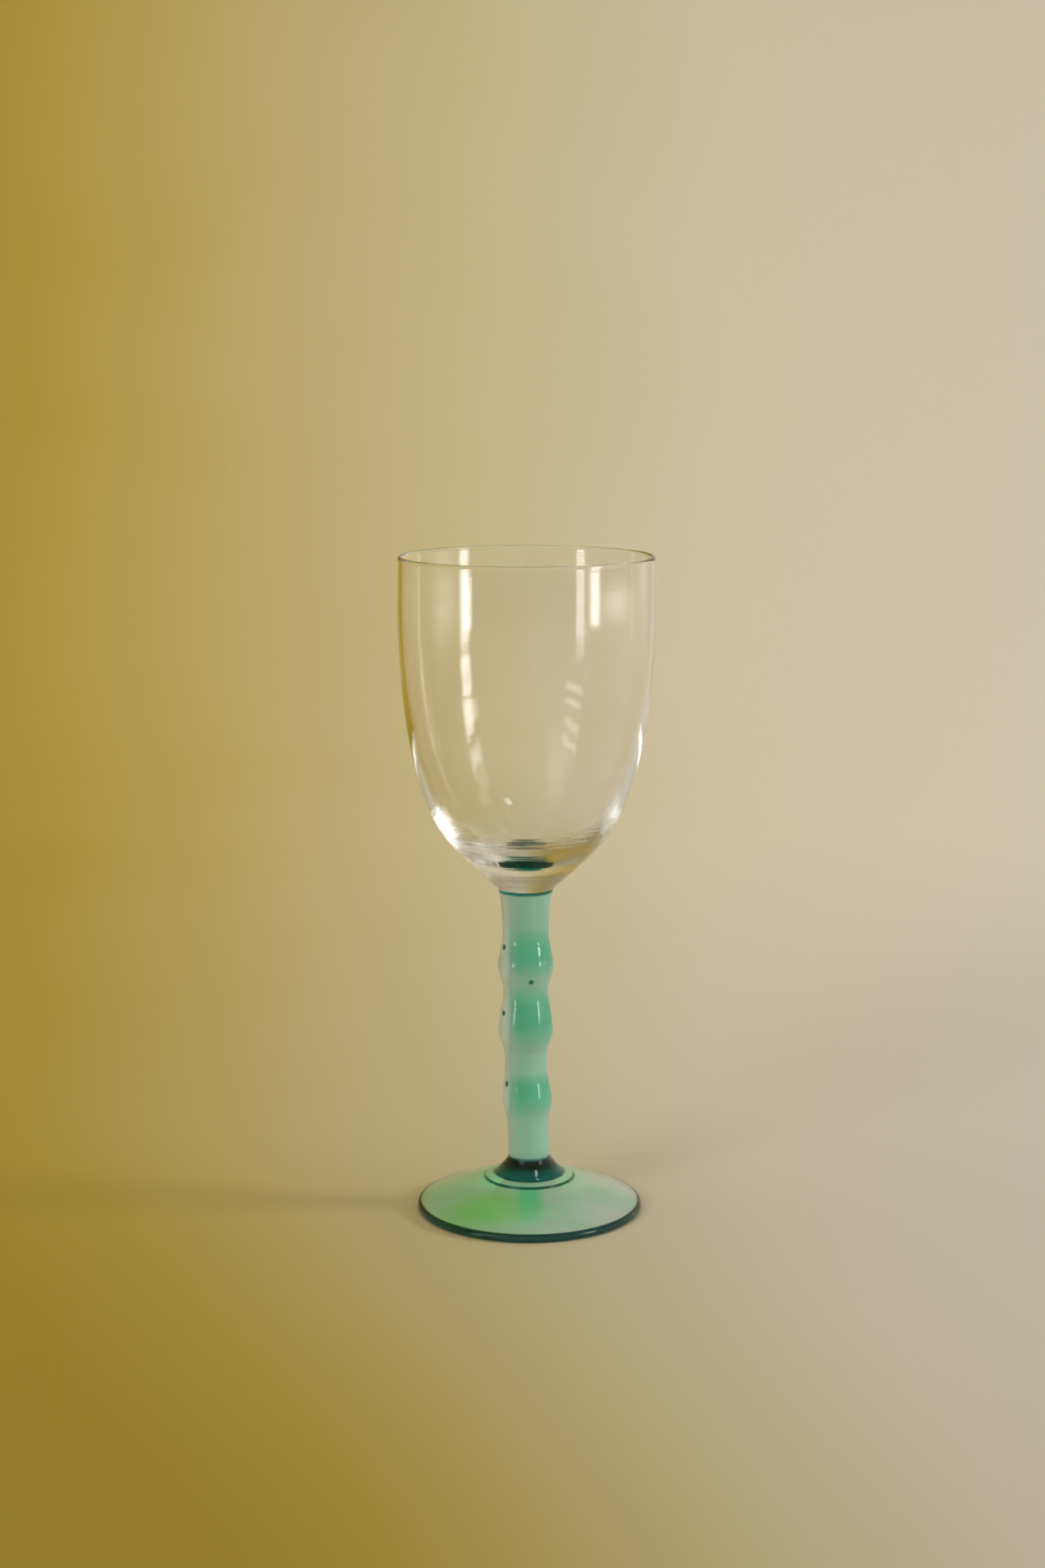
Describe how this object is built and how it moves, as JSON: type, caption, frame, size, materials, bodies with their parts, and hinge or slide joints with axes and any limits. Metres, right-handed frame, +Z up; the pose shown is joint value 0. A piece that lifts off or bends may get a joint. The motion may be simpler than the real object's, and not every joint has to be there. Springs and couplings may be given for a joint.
{
  "type": "wine glass",
  "caption": "Stemmed wine glass: clear deep round bowl with a heavy base, sea-green stem with bamboo-like knops, and a domed sea-green foot.",
  "frame": {"origin": "centre of the foot's resting ring, on the surface that the glass stands on", "axes": "+Z up the glass's axis from the foot to the rim; X and Y are any two directions across it"},
  "size_m": [0.0764, 0.0764, 0.2],
  "materials": {
    "clear_glass": "clear, blown and fire-polished",
    "stem_glass": "sea green, drawn and fire-polished",
    "foot_glass": "sea green, spun and fire-polished"
  },
  "bodies": {
    "root": {"bowl": "clear_glass", "stem": "stem_glass", "foot": "foot_glass"}
  },
  "joints": []
}
